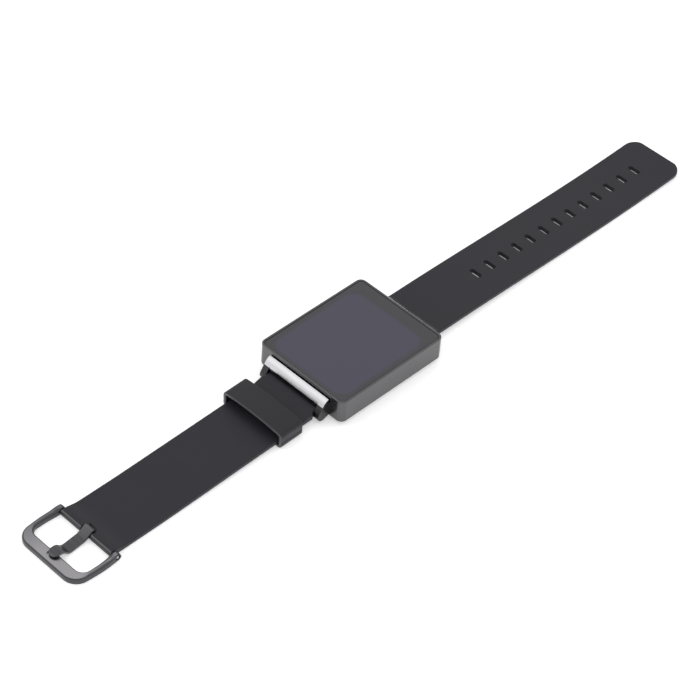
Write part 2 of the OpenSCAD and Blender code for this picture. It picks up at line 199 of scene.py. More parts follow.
def turned(name, profile, centre, axis="X", steps=32):
    """Solid of revolution from (distance along the axis, radius) pairs."""
    place = {"X": lambda d, u, v: (d, centre[0] + u, centre[1] + v),
             "Y": lambda d, u, v: (centre[0] + v, d, centre[1] + u),
             "Z": lambda d, u, v: (centre[0] + u, centre[1] + v, d)}[axis]
    circle = arc((0, 0), 1, 0, 360, steps)[:-1]
    return loft(name, [[place(d, r * u, r * v) for u, v in circle] for d, r in profile])


def bake(piece):
    """Applies a piece's modifiers."""
    graph = bpy.context.evaluated_depsgraph_get()
    mesh = bpy.data.meshes.new_from_object(piece.evaluated_get(graph))
    piece.modifiers.clear()
    piece.data = mesh


def combine(piece, tool, how="DIFFERENCE"):
    """Cuts a tool out of a piece, or adds it, and drops the tool."""
    modifier = piece.modifiers.new("combine", "BOOLEAN")
    modifier.object = tool
    modifier.operation = how
    modifier.solver = "EXACT"
    bake(piece)
    bpy.data.objects.remove(tool)


def soften(piece, width, segments=2, angle=40):
    """Rounds the sharp edges of a piece."""
    modifier = piece.modifiers.new("soften", "BEVEL")
    modifier.width = width
    modifier.segments = segments
    modifier.limit_method = "ANGLE"
    modifier.angle_limit = math.radians(angle)
    modifier.harden_normals = False
    bake(piece)


def finish_mesh(piece, materials, sharp):
    """Turns a mesh into metres, and gives it smooth shading and its materials."""
    piece.data.transform(Matrix.Scale(MM, 4))
    piece.data.shade_smooth()
    piece.data.set_sharp_from_angle(angle=math.radians(sharp))
    piece.data.materials.clear()
    for material in materials:
        piece.data.materials.append(material)
    weight = piece.modifiers.new("weight", "WEIGHTED_NORMAL")
    weight.keep_sharp = True


def dress(piece, body, node, materials, sharp=38):
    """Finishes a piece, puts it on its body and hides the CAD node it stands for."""
    finish_mesh(piece, materials, sharp)
    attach(piece, body)
    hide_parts(node)
    return piece


# ---- Materials ----

def add(material, kind, **inputs):
    """Adds a node, sets its plain values and links the inputs that are given as sockets.

    i0, i1 and so on are the node's inputs by number."""
    node = material.node_tree.nodes.new(kind)
    for name, value in inputs.items():
        if name in node.bl_rna.properties:
            setattr(node, name, value)
            continue
        numbered = name[0] == "i" and name[1:].isdigit()
        socket = node.inputs[int(name[1:]) if numbered else name]
        if isinstance(value, bpy.types.NodeSocket):
            material.node_tree.links.new(value, socket)
        else:
            socket.default_value = value
    return node


def arithmetic(material, operation, first, second=0.0):
    """Result of one arithmetic step on one or two values."""
    return add(material, "ShaderNodeMath", operation=operation, i0=first, i1=second).outputs[0]


def speckle(material, size, stretch=(1, 1, 1), detail=3.0):
    """Noise with features of about a size in millimetres, drawn out by stretch along X, Y and Z."""
    place = add(material, "ShaderNodeTexCoord").outputs["Object"]
    spaced = add(material, "ShaderNodeMapping", Vector=place, Scale=[1 / s for s in stretch])
    noise = add(material, "ShaderNodeTexNoise", Vector=spaced.outputs[0], Scale=1 / (size * MM),
                Detail=detail)
    return noise.outputs["Fac"]


def between(material, value, low, high, start=0.3, end=0.7):
    """Turns a value from start to end into one from low to high."""
    ramp = add(material, "ShaderNodeMapRange", Value=value)
    for place, number in enumerate((start, end, low, high), 1):
        ramp.inputs[place].default_value = number
    return ramp.outputs[0]


def blend_colours(material, share, first, second):
    """Mixes two colours, or a colour and a socket, by a share from 0 to 1."""
    mix = add(material, "ShaderNodeMix", data_type="RGBA", i0=share)
    for socket, colour in ((mix.inputs[6], first), (mix.inputs[7], second)):
        if isinstance(colour, bpy.types.NodeSocket):
            material.node_tree.links.new(colour, socket)
        else:
            socket.default_value = (*colour, 1)
    return mix.outputs[2]


def shade(colour, factor):
    """A lighter or darker version of a colour."""
    return tuple(min(1.0, c * factor) for c in colour)


def surface(name, colour, roughness, metallic=0.0, grain=0.2, depth=0.01, stretch=(1, 1, 1),
            tone=0.12, patch=9.0, rough_spread=0.06, edge_highlight=None, painted_highlight=None, specular=0.5):
    """Material with patches of tone and a fine grain in its gloss and bump.

    The edge colour is a painted highlight on sharply curved edges. The second colour is a painted
    highlight as well, given with the keywords of the facing share, which says where that highlight shows."""
    material = bpy.data.materials.new(name)
    material.use_nodes = True
    shader = material.node_tree.nodes["Principled BSDF"]
    shader.inputs["Metallic"].default_value = metallic
    shader.inputs["Specular IOR Level"].default_value = specular
    link = material.node_tree.links.new
    patches = speckle(material, patch)
    fine = speckle(material, grain, stretch)
    paint = blend_colours(material, patches, shade(colour, 1 - tone), shade(colour, 1 + tone))
    # painted highlight: a paler colour on sharply curved edges, found by pointiness
    if edge_highlight:
        edge = add(material, "ShaderNodeNewGeometry").outputs["Pointiness"]
        lit_edge_share = between(material, edge, 0, 0.7, 0.52, 0.60)
        paint = blend_colours(material, lit_edge_share, paint, edge_highlight)
    # painted highlight: a lighter colour where a surface faces squarely along an axis
    if painted_highlight:
        paint = blend_colours(material, facing_highlight_share(material, **painted_highlight[1]), paint, painted_highlight[0])
    link(paint, shader.inputs["Base Color"])
    broad = between(material, patches, -rough_spread / 2, rough_spread / 2)
    close = between(material, fine, roughness - rough_spread, roughness + rough_spread)
    link(arithmetic(material, "ADD", broad, close), shader.inputs["Roughness"])
    bump = add(material, "ShaderNodeBump", Height=fine, Distance=depth * MM, Strength=1.0)
    link(bump.outputs[0], shader.inputs["Normal"])
    return material


def facing_highlight_share(material, axis, rise, fall=None, spot=None):
    """Share of a painted highlight, by how squarely a surface faces along an axis.

    It rises between two values, and falls again between two others if fall is given. A spot is a
    place and two distances in millimetres, between which the share fades to a fifth."""
    place = add(material, "ShaderNodeTexCoord")
    part = add(material, "ShaderNodeSeparateXYZ", Vector=place.outputs["Normal"]).outputs[axis]
    square = arithmetic(material, "ABSOLUTE", part)
    factors = [between(material, square, 0, 1, *rise)]
    if fall:
        factors.append(between(material, square, 1, 0, *fall))
    if spot:
        away = add(material, "ShaderNodeVectorMath", operation="DISTANCE", i0=place.outputs["Object"],
                   i1=[c * MM for c in spot[0]]).outputs["Value"]
        factors.append(between(material, away, 1, 0.2, spot[1] * MM, spot[2] * MM))
    share = factors[0]
    for factor in factors[1:]:
        share = arithmetic(material, "MULTIPLY", share, factor)
    return share


def glass_surface():
    """Gloss-black glass: a printed border round a bluish switched-off screen, with faint smears."""
    centre, half, corner, blur = (-0.15, 2.0), (16.2, 19.2), 4.5, 0.7
    material = surface("glass_black", (0.040, 0.0385, 0.045), 0.05, grain=14, depth=0.0,
                       rough_spread=0.02)
    shader = material.node_tree.nodes["Principled BSDF"]
    border = shader.inputs["Base Color"].links[0].from_socket
    parts = add(material, "ShaderNodeSeparateXYZ",
                Vector=add(material, "ShaderNodeTexCoord").outputs["Object"])
    beyond = []
    for axis in (0, 1):
        moved = arithmetic(material, "SUBTRACT", parts.outputs[axis], centre[axis] * MM)
        away = arithmetic(material, "ABSOLUTE", moved)
        past = arithmetic(material, "SUBTRACT", away, (half[axis] - corner) * MM)
        beyond.append(arithmetic(material, "MAXIMUM", past))
    offset = add(material, "ShaderNodeCombineXYZ", X=beyond[0], Y=beyond[1])
    length = add(material, "ShaderNodeVectorMath", operation="LENGTH", i0=offset.outputs[0])
    screen = between(material, length.outputs["Value"], 1, 0, (corner - blur) * MM, (corner + blur) * MM)
    lit = blend_colours(material, screen, border, (0.052, 0.047, 0.076))
    material.node_tree.links.new(lit, shader.inputs["Base Color"])
    return material


def make_materials():
    """Every finish of the object, under a short name."""
    return {
        "case": surface("anodised_grey", (0.120, 0.117, 0.121), 0.23, 1.0, grain=0.16, depth=0.003,
                        tone=0.05),
        "silver": surface("satin_silver", (0.68, 0.68, 0.70), 0.37, 1.0, grain=0.12, depth=0.002,
                          stretch=(30, 1, 1), tone=0.03),
        "glass": glass_surface(),
        "rubber": surface("silicone_black", (0.0185, 0.0176, 0.0240), 0.46, grain=0.22, depth=0.012,
                          tone=0.10, patch=14, specular=0.3),
        "seal": surface("seal_black", (0.012, 0.012, 0.012), 0.6, grain=0.3),
        # painted highlight: faces that look along the strap, at the loop's lips, are lighter
        "keeper": surface("silicone_keeper", (0.0190, 0.0182, 0.0230), 0.44, grain=0.22, depth=0.012,
                          tone=0.10, specular=0.3,
                          painted_highlight=((0.085, 0.082, 0.088), {"axis": 1, "rise": (0.3, 0.8)})),
        # painted highlight: a light band on the rounded end of the strap, near the buckle
        "rolled": surface("silicone_rolled", (0.0185, 0.0176, 0.0240), 0.46, grain=0.22, depth=0.012,
                          tone=0.10, patch=14, specular=0.3,
                          painted_highlight=((0.11, 0.107, 0.115),
                                  {"axis": 1, "rise": (0.3, 0.45), "fall": (0.75, 0.97),
                                   "spot": ((0, PIN.y, PIN.z), 13, 20)})),
        # dark coat of the ears, also painted on the hood's lower band as a dark reflection
        "coat_and_shade": surface("lug_coat_and_shade", (0.060, 0.059, 0.062), 0.30, 1.0, grain=0.16, depth=0.003, tone=0.05),
        # painted highlight: a bright satin reflection on the up-facing top of the bar, fading from a spot
        "buckle": surface("gunmetal", (0.080, 0.078, 0.084), 0.34, 1.0, grain=0.14, depth=0.004,
                          stretch=(14, 1, 1), tone=0.06,
                          painted_highlight=((0.36, 0.35, 0.365),
                                  {"axis": 2, "rise": (0.972, 0.992),
                                   "spot": ((-4, BAR_OUT - 2, FRAME_TOP), 8, 24)})),
        # painted highlight: paler sharply curved edges, such as the fillet round the tip
        "tongue": surface("gunmetal_dark", (0.088, 0.086, 0.092), 0.32, 1.0, grain=0.14, depth=0.004,
                          stretch=(1, 14, 1), tone=0.06, edge_highlight=(0.22, 0.215, 0.23)),
        "steel": surface("turned_steel", (0.56, 0.56, 0.57), 0.25, 1.0, grain=0.08, depth=0.003,
                         stretch=(1, 12, 12), tone=0.04),
        "plastic": surface("back_plastic", (0.022, 0.022, 0.024), 0.45, grain=0.25, depth=0.015),
        "carrier": surface("carrier_plastic", (0.05, 0.05, 0.055), 0.5, grain=0.3, depth=0.01),
        "panel": surface("panel_film", (0.05, 0.05, 0.07), 0.12, grain=6, depth=0.0, rough_spread=0.03),
        "board": surface("solder_mask", (0.015, 0.10, 0.05), 0.3, grain=0.7, depth=0.02,
                         tone=0.35, patch=1.6),
        "chip": surface("moulded_chip", (0.02, 0.02, 0.02), 0.5, grain=0.1, depth=0.01),
        "flex": surface("amber_film", (0.42, 0.20, 0.04), 0.3, grain=0.5,
                        stretch=(1, 8, 1), tone=0.2, patch=2),
        "foil": surface("cell_foil", (0.5, 0.51, 0.53), 0.28, 1.0, grain=2.5, depth=0.06, tone=0.05),
        "gold": surface("gold_plate", (0.80, 0.56, 0.20), 0.22, 1.0, grain=0.1, depth=0.002, tone=0.06),
    }


LOOK = make_materials()


# ---- Case ----

def case_ring(inset, corner, z):
    """Rounded outline of the case, drawn in from its outside."""
    outline = rounded_rectangle(CASE_HALF[0] - inset, CASE_HALF[1] - inset, corner, 10)
    return [(x, y, z) for x, y in outline]


def make_case():
    """Thin-walled frame with a fine rim round the glass, screw bosses and holes."""
    low, top, soft, lip = CASE_LOW.z, CASE_HIGH.z, 0.22, 0.12
    seat = GLASS_LOW.z - 0.2
    rings = [case_ring(MOUTH, INNER_CORNER, low + lip), case_ring(MOUTH - lip, INNER_CORNER, low)]
    for inset, z in arc((soft, low + soft), soft, 270, 180, 5):
        rings.append(case_ring(inset, CASE_CORNER - inset, z))
    for inset, z in arc((soft, top - soft), soft, 180, 90, 5):
        rings.append(case_ring(inset, CASE_CORNER - inset, z))
    for inset, z in arc((RIM - lip, top - lip), lip, 90, 0, 3):
        rings.append(case_ring(inset, CASE_CORNER - inset, z))
    rings += [case_ring(RIM, CASE_CORNER - RIM, seat), case_ring(WALL, INNER_CORNER, seat),
              case_ring(WALL, INNER_CORNER, MOUTH_TOP), case_ring(MOUTH, INNER_CORNER, MOUTH_TOP)]
    case = loft("case_frame_detail", rings, around=True)
    for sx in (-1, 1):
        for sy in (-1, 1):
            at = (sx * BOSS_AT[0], sy * BOSS_AT[1])
            boss = [(MOUTH_TOP + BOSS_FOOT, BOSS_R), (BOSS_TOP, BOSS_R)]
            combine(case, turned("boss", boss, at, "Z"), "UNION")
            pilot = [(0, SCREW_HOLE_R), (MOUTH_TOP + PILOT_DEPTH, SCREW_HOLE_R)]
            combine(case, turned("pilot", pilot, at, "Z"))
        reach = CASE_HALF[1] + 1
        combine(case, turned("drill", [(-reach, SCREW_HOLE_R), (reach, SCREW_HOLE_R)],
                             (sx * LUG_SCREW_AT[0], LUG_SCREW_AT[1]), "Y"))
    return dress(case, "case", "case_frame", [LOOK["case"]])


def make_glass():
    """Flat glass with a ground edge."""
    half, corner, edge = (GLASS_HIGH.x, GLASS_HIGH.y), CASE_CORNER - RIM - 0.1, 0.22
    profile = [(edge, GLASS_LOW.z), (0, GLASS_LOW.z + edge)]
    profile += arc((edge, GLASS_HIGH.z - edge), edge, 180, 90, 4)
    rings = [[(x, y, z) for x, y in rounded_rectangle(half[0] - inset, half[1] - inset, corner - inset, 10)]
             for inset, z in profile]
    return dress(loft("cover_glass_detail", rings), "case", "cover_glass", [LOOK["glass"]])


def make_back_cover():
    """Back plate with rounded edges, counterbores for the screws and windows for the contacts."""
    half, plate_inset, edge = (COVER_HIGH.x, COVER_HIGH.y), 0.5, 0.5
    plate_top, corner = CASE_LOW.z, 2.0
    profile = [(plate_inset + i, z, corner - i) for i, z in arc((edge, edge), edge, 270, 180, 5)]
    profile += [(plate_inset, plate_top, corner), (0, plate_top, INNER_CORNER),
                (0, COVER_HIGH.z, INNER_CORNER)]
    rings = [[(x, y, z) for x, y in rounded_rectangle(half[0] - i, half[1] - i, r, 8)]
             for i, z, r in profile]
    cover = loft("back_cover_detail", rings)
    for sx in (-1, 1):
        for sy in (-1, 1):
            bore = [(-1, 1.22), (0.01, 1.22), (0.14, 1.1), (0.8, 1.1),
                    (0.8, SCREW_HOLE_R), (4, SCREW_HOLE_R)]
            combine(cover, turned("bore", bore, (sx * BOSS_AT[0], sy * BOSS_AT[1]), "Z"))
    for at in contact_places():
        combine(cover, turned("window", [(-1, 1.12), (0.01, 1.12), (0.13, 1.0), (4, 1.0)], at, "Z"))
    return dress(cover, "case", "back_cover", [LOOK["plastic"]])


def contact_places():
    """Centres of the charging contacts, in a row across the back."""
    low, high = box_mm("charge_contacts")
    pitch = (high.x - low.x - 2) / 4
    return [(pitch * i, (low.y + high.y) / 2) for i in range(-2, 3)]


def make_contacts():
    """Domed pads, each with a shallow ring."""
    low, high = box_mm("charge_contacts")
    profile = [(low.z, 0.45), (low.z + 0.05, 0.62), (low.z + 0.03, 0.72), (low.z + 0.1, 0.9),
               (low.z + 0.25, 0.99), (high.z, 0.99)]
    pads = [turned("pad", profile, at, "Z") for at in contact_places()]
    row = pads[0]
    row.name = "charge_contacts_detail"
    for pad in pads[1:]:
        combine(row, pad, "UNION")
    return dress(row, "case", "charge_contacts", [LOOK["gold"]], sharp=60)


# ---- Lugs ----

def lug_outlines():
    """Side outlines in Y and Z: an ear, the hood between the ears, and what an ear adds to the hood."""
    end, bar = CASE_HIGH.y, (BAR.y, BAR.z)
    dy, dz = bar[0] - HOOD_AT[0], bar[1] - HOOD_AT[1]
    turn = math.degrees(math.atan2(dz, dy) + math.acos((HOOD_R - EAR_R) / math.hypot(dy, dz)))
    slot_y, slot_z = end + HOOD_GAP[0], HOOD_GAP[1]
    start_out = math.degrees(math.acos((slot_y - HOOD_AT[0]) / HOOD_R))
    start_in = math.degrees(math.acos((slot_y - HOOD_AT[0]) / (HOOD_R - HOOD_T)))
    shared = arc(HOOD_AT, HOOD_R, start_out, turn, 8)
    lobe = arc(bar, EAR_R, turn, -95, 14)
    lobe.insert(0, tuple((1 - SHADE_SPLIT) * a + SHADE_SPLIT * b for a, b in zip(shared[-1], lobe[0])))
    wall = [(end, CASE_LOW.z), (end, slot_z), (slot_y, slot_z)]
    lip = arc(HOOD_AT, HOOD_R, turn, 0, 8)
    inner = arc(HOOD_AT, HOOD_R - HOOD_T, 0, start_in, 9)
    ear = shared + lobe + wall + [inner[-1]]
    return ear, shared + lip[1:] + inner, lip + inner + wall[::-1] + lobe[::-1]


def make_lug(name, side):
    """Two dark ears with a bright hood across them, whose lower band has the ears' colour as a painted
    dark reflection; side is 1 at the buckle's end and -1 at the other.
    """
    ear, hood, rest = lug_outlines()
    points, index, faces = [], {}, []

    def at(x, place):
        """Number of the point at a place, which is added if it is new."""
        key = (round(x, 4), round(place[0], 4), round(place[1], 4))
        if key not in index:
            index[key] = len(points)
            points.append((x, side * place[0], place[1]))
        return index[key]

    for x in (-EAR_OUT, EAR_OUT):
        faces.append([at(x, p) for p in ear])
    for x in (-EAR_IN, EAR_IN):
        faces.append([at(x, p) for p in rest])
    for far, near in ((-EAR_OUT, -EAR_IN), (EAR_OUT, EAR_IN)):
        for a, b in zip(ear, ear[1:] + ear[:1]):
            faces.append([at(far, a), at(far, b), at(near, b), at(near, a)])
    for a, b in zip(hood, hood[1:] + hood[:1]):
        faces.append([at(-EAR_IN, a), at(-EAR_IN, b), at(EAR_IN, b), at(EAR_IN, a)])
    lug = solid(name, points, faces)
    soften(lug, 0.14)
    for sx in (-1, 1):
        hole = [(sx * (EAR_IN - 1), NOSE_HOLE_R), (sx * (EAR_IN + 1.5), NOSE_HOLE_R)]
        combine(lug, turned("hole", hole, (side * BAR.y, BAR.z)))
        start = side * (CASE_HIGH.y - 1)
        combine(lug, turned("drill", [(start, SCREW_HOLE_R), (start + side * 2.9, SCREW_HOLE_R)],
                            (sx * LUG_SCREW_AT[0], LUG_SCREW_AT[1]), "Y"))
    dress(lug, "case", name.replace("_detail", ""), [LOOK["coat_and_shade"], LOOK["silver"]])
    # silver on the hood's outer face; dark coat on the ears and, as a painted dark reflection, on the
    # hood's lower band
    for face in lug.data.polygons:
        y, z = side * face.center.y / MM - HOOD_AT[0], face.center.z / MM - HOOD_AT[1]
        outer = math.hypot(y, z) > HOOD_R - 0.16 and abs(face.normal.x) < 0.8
        above_shade_line = z > (HOOD_SHADE_LINE if abs(face.center.x) < EAR_IN * MM else EAR_SHADE_LINE)
        outwards = face.normal.y * side * y + face.normal.z * z > 0
        face.material_index = int(outer and above_shade_line and outwards)
    return lug


# ---- Straps ----

def slab(name, stations, side=1):
    """Skin over cross-sections (y, half width, bottom, top, edge radius); side -1 mirrors Y."""
    rings = []
    for y, half, low, high, edge in stations:
        edge = min(edge, 0.49 * (high - low))
        outline = rounded_rectangle(half, (high - low) / 2, edge, 4, (0, (low + high) / 2))
        rings.append([(x, side * y, z) for x, z in outline])
    return loft(name, rings)


def round_end(centre, radius, outwards, steps=9):
    """Heights of a round bar's end, as (y, bottom, top) from its rim towards its middle."""
    places = []
    for i in range(steps):
        angle = math.radians(2 + 88 * i / steps)
        rise = radius * math.sin(angle)
        y = centre[0] + outwards * radius * math.cos(angle)
        places.append((y, centre[1] - rise, centre[1] + rise))
    return places


def edge_drop(into, soft):
    """How far a rounded edge falls away at a distance into its curve."""
    return soft - math.sqrt(max(0.0, soft ** 2 - min(soft, max(0.0, into)) ** 2))


def buckle_under(y):
    """Height of the buckle strap's underside."""
    return max(0.0, UNDER_ROOT - FALL * (y - BAR.y))


def free_under(y):
    """Height of the free strap's underside, which lifts a little at the tip."""
    return UNDER_ROOT * (1 - ease((y - 34) / 84)) + 0.9 * (max(0, y - 120) / 36) ** 2


def neck_stations(under, end, thinning):
    """Sections from the root about the lug bar out to an end, over a neck that thins over a length."""
    low = [(y, ROOT_HALF, b, t, STRAP_EDGE) for y, b, t in round_end((BAR.y, BAR.z), ROOT_R, -1)]
    bulge = BAR.z + ROOT_R - UNDER_ROOT - STRAP_T
    drop = UNDER_ROOT - (BAR.z - ROOT_R)
    for y in spread(BAR.y, end, 40):
        half = ROOT_HALF + (STRAP_HALF - ROOT_HALF) * ease((y - 28.0) / 0.6)
        bottom = under(y) - drop * (1 - ease((y - BAR.y) / 4))
        top = under(y) + STRAP_T + bulge * (1 - ease((y - BAR.y - 0.4) / thinning))
        low.append((y, half, bottom, top, STRAP_EDGE))
    return low


def make_buckle_strap():
    """Short strap: its end is rolled about the buckle's bar and slotted for the tongue."""
    roll, soft = PIN.z - 0.05, 0.95
    start, rise, end = 36, 6, PIN.y + 1.15
    stations = neck_stations(buckle_under, start, 8.5)
    for y in spread(start, PIN.y, 60)[1:]:
        lift = ease((y - PIN.y + rise) / rise)
        top = buckle_under(y) + STRAP_T + (PIN.z + roll - STRAP_T) * lift
        stations.append((y, STRAP_HALF, buckle_under(y) + 0.05 * lift, top, STRAP_EDGE))
    for i in range(1, 10):
        into = soft * math.sin(math.radians(10 * i)) if i < 9 else soft
        drop = edge_drop(into, soft)
        stations.append((end - soft + into, STRAP_HALF, 0.05 + drop, PIN.z + roll - drop, STRAP_EDGE))
    strap = slab("buckle_strap_detail", stations)
    for place in ((BAR.y, BAR.z), (PIN.y, PIN.z)):
        combine(strap, turned("tunnel", [(-20, TUNNEL_R), (20, TUNNEL_R)], place))
    slot_end = PIN.y - 2.35
    reach = PIN.y + 4 - slot_end
    combine(strap, flared_slot((END_SLOT_HALF, reach / 2), 0.9,
                               (slot_end + reach / 2, 0.05, PIN.z + roll), 0, lip=0.25))
    return dress(strap, "buckle_side", "buckle_strap", [LOOK["rolled"]])


def flared_slot(half, corner, place, slope, lip=0.3, side=1, draft=0.0):
    """Cutter for a slot with rounded lips at (y, bottom, top), tilted by a slope, tapered by a draft."""
    y, low, high = place
    turns = [math.radians(15 * k) for k in range(6)]
    fillet = [(lip * (1 - math.cos(a)), lip * math.sin(a)) for a in turns]
    profile = [(fillet[-1][0] - draft, low - 1)]
    profile += [(grow - draft, low + lip - rise) for grow, rise in reversed(fillet)]
    profile += [(grow, high - lip + rise) for grow, rise in fillet] + [(fillet[-1][0], high + 1)]
    middle = (low + high) / 2
    rings = []
    for grow, z in profile:
        outline = rounded_rectangle(half[0] + grow, half[1] + grow, corner + grow, 8)
        rings.append([(u, side * (y + v - slope * (z - middle)), z + slope * v) for u, v in outline])
    return loft("slot", rings)


def make_free_strap():
    """Long strap with a rounded tip and a row of slots."""
    corner, soft = 5.0, 0.5
    stations = neck_stations(free_under, 38, 3.6)
    for y in spread(38, TIP_Y - corner, 110)[1:]:
        stations.append((y, STRAP_HALF, free_under(y), free_under(y) + STRAP_T, STRAP_EDGE))
    for i in range(1, 15):
        along = corner * math.sin(math.radians(90 * i / 14))
        y = TIP_Y - corner + along
        half = STRAP_HALF - corner + math.sqrt(max(0, corner ** 2 - along ** 2))
        thin = min(edge_drop(along - corner + soft, soft), 0.45)
        stations.append((y, half, free_under(y) + thin, free_under(y) + STRAP_T - thin, STRAP_EDGE))
    strap = slab("free_strap_detail", stations, -1)
    combine(strap, turned("tunnel", [(-20, TUNNEL_R), (20, TUNNEL_R)], (-BAR.y, BAR.z)))
    for i in range(SLOTS):
        y = SLOT_FIRST + SLOT_PITCH * i
        low = free_under(y)
        slope = (free_under(y + 1) - free_under(y - 1)) / 2
        combine(strap, flared_slot(SLOT_HALF, SLOT_HALF[1], (y, low, low + STRAP_T), slope,
                                   side=-1, draft=0.2))
    return dress(strap, "free_side", "free_strap", [LOOK["rubber"]])


# ---- Keeper ----

def crowned_outline(half_w, low, high, corner, crown, groove=0.0):
    """Loop outline in X and Z: flat bottom, arched top, and a moulded groove in each side."""
    points = arc((half_w - corner, low + corner), corner, -90, 0, 6)
    side = [(half_w - d, low + h) for d, h in ((0, 2.35), (groove, 2.55), (groove, 2.7), (0, 2.9))]
    top_right = arc((half_w - corner, high - corner), corner, 0, 78, 6)
    arch = [(u * (half_w - corner), high + crown * (1 - u * u)) for u in spread(0.86, -0.86, 14)]
    right = points + side + top_right
    left = [(-x, z) for x, z in right[::-1]]
    return right + arch + left


def make_keeper():
    """Moulded loop with rounded lips and a slightly arched top."""
    low, high = box_mm("keeper_loop")
    half, wall, floor, lip, length = high.x, 1.0, 0.95, 0.33, 9.4
    middle = (low.y + high.y) / 2
    base = buckle_under(middle) - 0.1 - floor
    height, crown = 6.2, 0.6
    outer = crowned_outline(half, 0, height, 1.6, crown, 0.14)
    inner = crowned_outline(half - wall - 0.3, floor, height - wall, 0.7, crown)
    section = []
    for cx, cy, start in ((1 - lip, 1, 0), (lip, 1, 90), (lip, -1, 180), (1 - lip, -1, 270)):
        for u, v in arc((0, 0), 1, start, start + 90, 4):
            section.append((cx + lip * u, cy * (length / 2 - lip) + lip * v))
    tilt = -math.atan(FALL)
    rings = []
    for (ox, oz), (ix, iz) in zip(outer, inner):
        ring = []
        for share, along in section:
            x, z = ix + (ox - ix) * share, iz + (oz - iz) * share
            ring.append((x, middle + along * math.cos(tilt) - z * math.sin(tilt),
                         base + z * math.cos(tilt) + along * math.sin(tilt)))
        rings.append(ring)
    keeper = loft("keeper_loop_detail", rings, around=True)
    return dress(keeper, "keeper", "keeper_loop", [LOOK["keeper"]], sharp=60)


# ---- Buckle ----

def frame_stations():
    """Half of the buckle's frame, from the eye to the middle of the bar.

    Each station is an inner point, an outer point, the bottom, the top and the shoulder's radius."""
    corner_out, corner_in, half_out, half_in = 5.2, 3.2, 13.7, 12.0
    eye_in, eye_edge, arm_edge, bar_edge = 11.68, 0.5, 0.85, 0.55
    stations = []
    for y, low, high in round_end((PIN.y, PIN.z), EYE_R, -1):
        stations.append(((eye_in, y), (half_out, y), low, high, eye_edge))
    for t in spread(0, 1, 16):
        y_in = PIN.y + (BAR_IN - corner_in - PIN.y) * t
        y_out = PIN.y + (BAR_OUT - corner_out - PIN.y) * t
        x_in = eye_in + (half_in - eye_in) * ease((t - 0.1) / 0.6)
        x_out = half_out + 0.35 * math.sin(math.pi * t)
        top = FRAME_TOP + (PIN.z + EYE_R - FRAME_TOP) * (1 - ease(t / 0.3))
        edge = eye_edge + (arm_edge - eye_edge) * ease((t - 0.12) / 0.25)
        stations.append(((x_in, y_in), (x_out, y_out), FRAME_BOTTOM, top, edge))
    inner = arc((half_in - corner_in, BAR_IN - corner_in), corner_in, 0, 90, 12)
    outer = arc((half_out - corner_out, BAR_OUT - corner_out), corner_out, 0, 90, 12)
    for t, i, o in zip(spread(0, 1, 12)[1:], inner[1:], outer[1:]):
        stations.append((i, o, FRAME_BOTTOM, FRAME_TOP, arm_edge + (bar_edge - arm_edge) * t))
    for t in spread(1, 0, 6)[1:]:
        ends = (inner[-1][0] * t, BAR_IN), (outer[-1][0] * t, BAR_OUT)
        stations.append((*ends, FRAME_BOTTOM, FRAME_TOP, bar_edge))
    return stations


def frame_ring(inner, outer, low, high, edge):
    """Section of the buckle's frame: flat below, rounded shoulders, slightly arched on top."""
    width, height = math.dist(inner, outer), high - low
    foot, arch = min(0.3, 0.3 * height), 0.12 * min(1, width / 4)
    across, down = min(edge, 0.46 * width), min(edge, 0.55 * (height - arch))
    outline = arc((foot, foot), foot, 180, 270, 3) + arc((width - foot, foot), foot, 270, 360, 3)
    outline += arc((width - across, height - arch - down), (across, down), 0, 84, 6)
    flat = (across, width - across)
    for t in spread(1, 0, 4):
        bulge = arch * (1 - (2 * t - 1) ** 2)
        outline.append((flat[0] + (flat[1] - flat[0]) * t, height - arch + bulge))
    outline += arc((across, height - arch - down), (across, down), 96, 180, 6)
    ux, uy = (outer[0] - inner[0]) / width, (outer[1] - inner[1]) / width
    return [(inner[0] + u * ux, inner[1] + u * uy, low + h) for u, h in outline]


def make_buckle():
    """Open frame with a broad bar, two thin arms and an eye at the end of each."""
    half = frame_stations()
    rings = [frame_ring(*s) for s in half]
    rings += [[(-x, y, z) for x, y, z in ring] for ring in reversed(rings[:-1])]
    buckle = loft("buckle_frame_detail", rings)
    recess, mouth = 0.72, 0.92
    for sx in (-1, 1):
        hole = [(sx * 11, NOSE_HOLE_R), (sx * 13.0, NOSE_HOLE_R), (sx * 13.0, recess),
                (sx * 13.5, recess), (sx * 13.8, mouth), (sx * 15, mouth)]
        combine(buckle, turned("hole", hole, (PIN.y, PIN.z)))
    floor, length = FRAME_TOP - 0.45, 2.7
    outline = rounded_rectangle(TONGUE_HALF + 0.3, length, 1.3, 6, (-0.5, BAR_IN))
    combine(buckle, loft("notch", [[(x, y, z) for x, y in outline] for z in (floor, floor + 3)]))
    return dress(buckle, "buckle", "buckle_frame", [LOOK["buckle"]], sharp=50)


def bent(y, corners, soft):
    """Height of a line through corners, with its bends softened over a distance to each side."""
    total = 0.0
    for shift in spread(-soft, soft, 8):
        at = y + shift
        pairs = list(zip(corners, corners[1:]))
        (y0, z0), (y1, z1) = next((pair for pair in pairs if at < pair[1][0]), pairs[-1])
        total += z0 + (z1 - z0) * (at - y0) / (y1 - y0)
    return total / 9


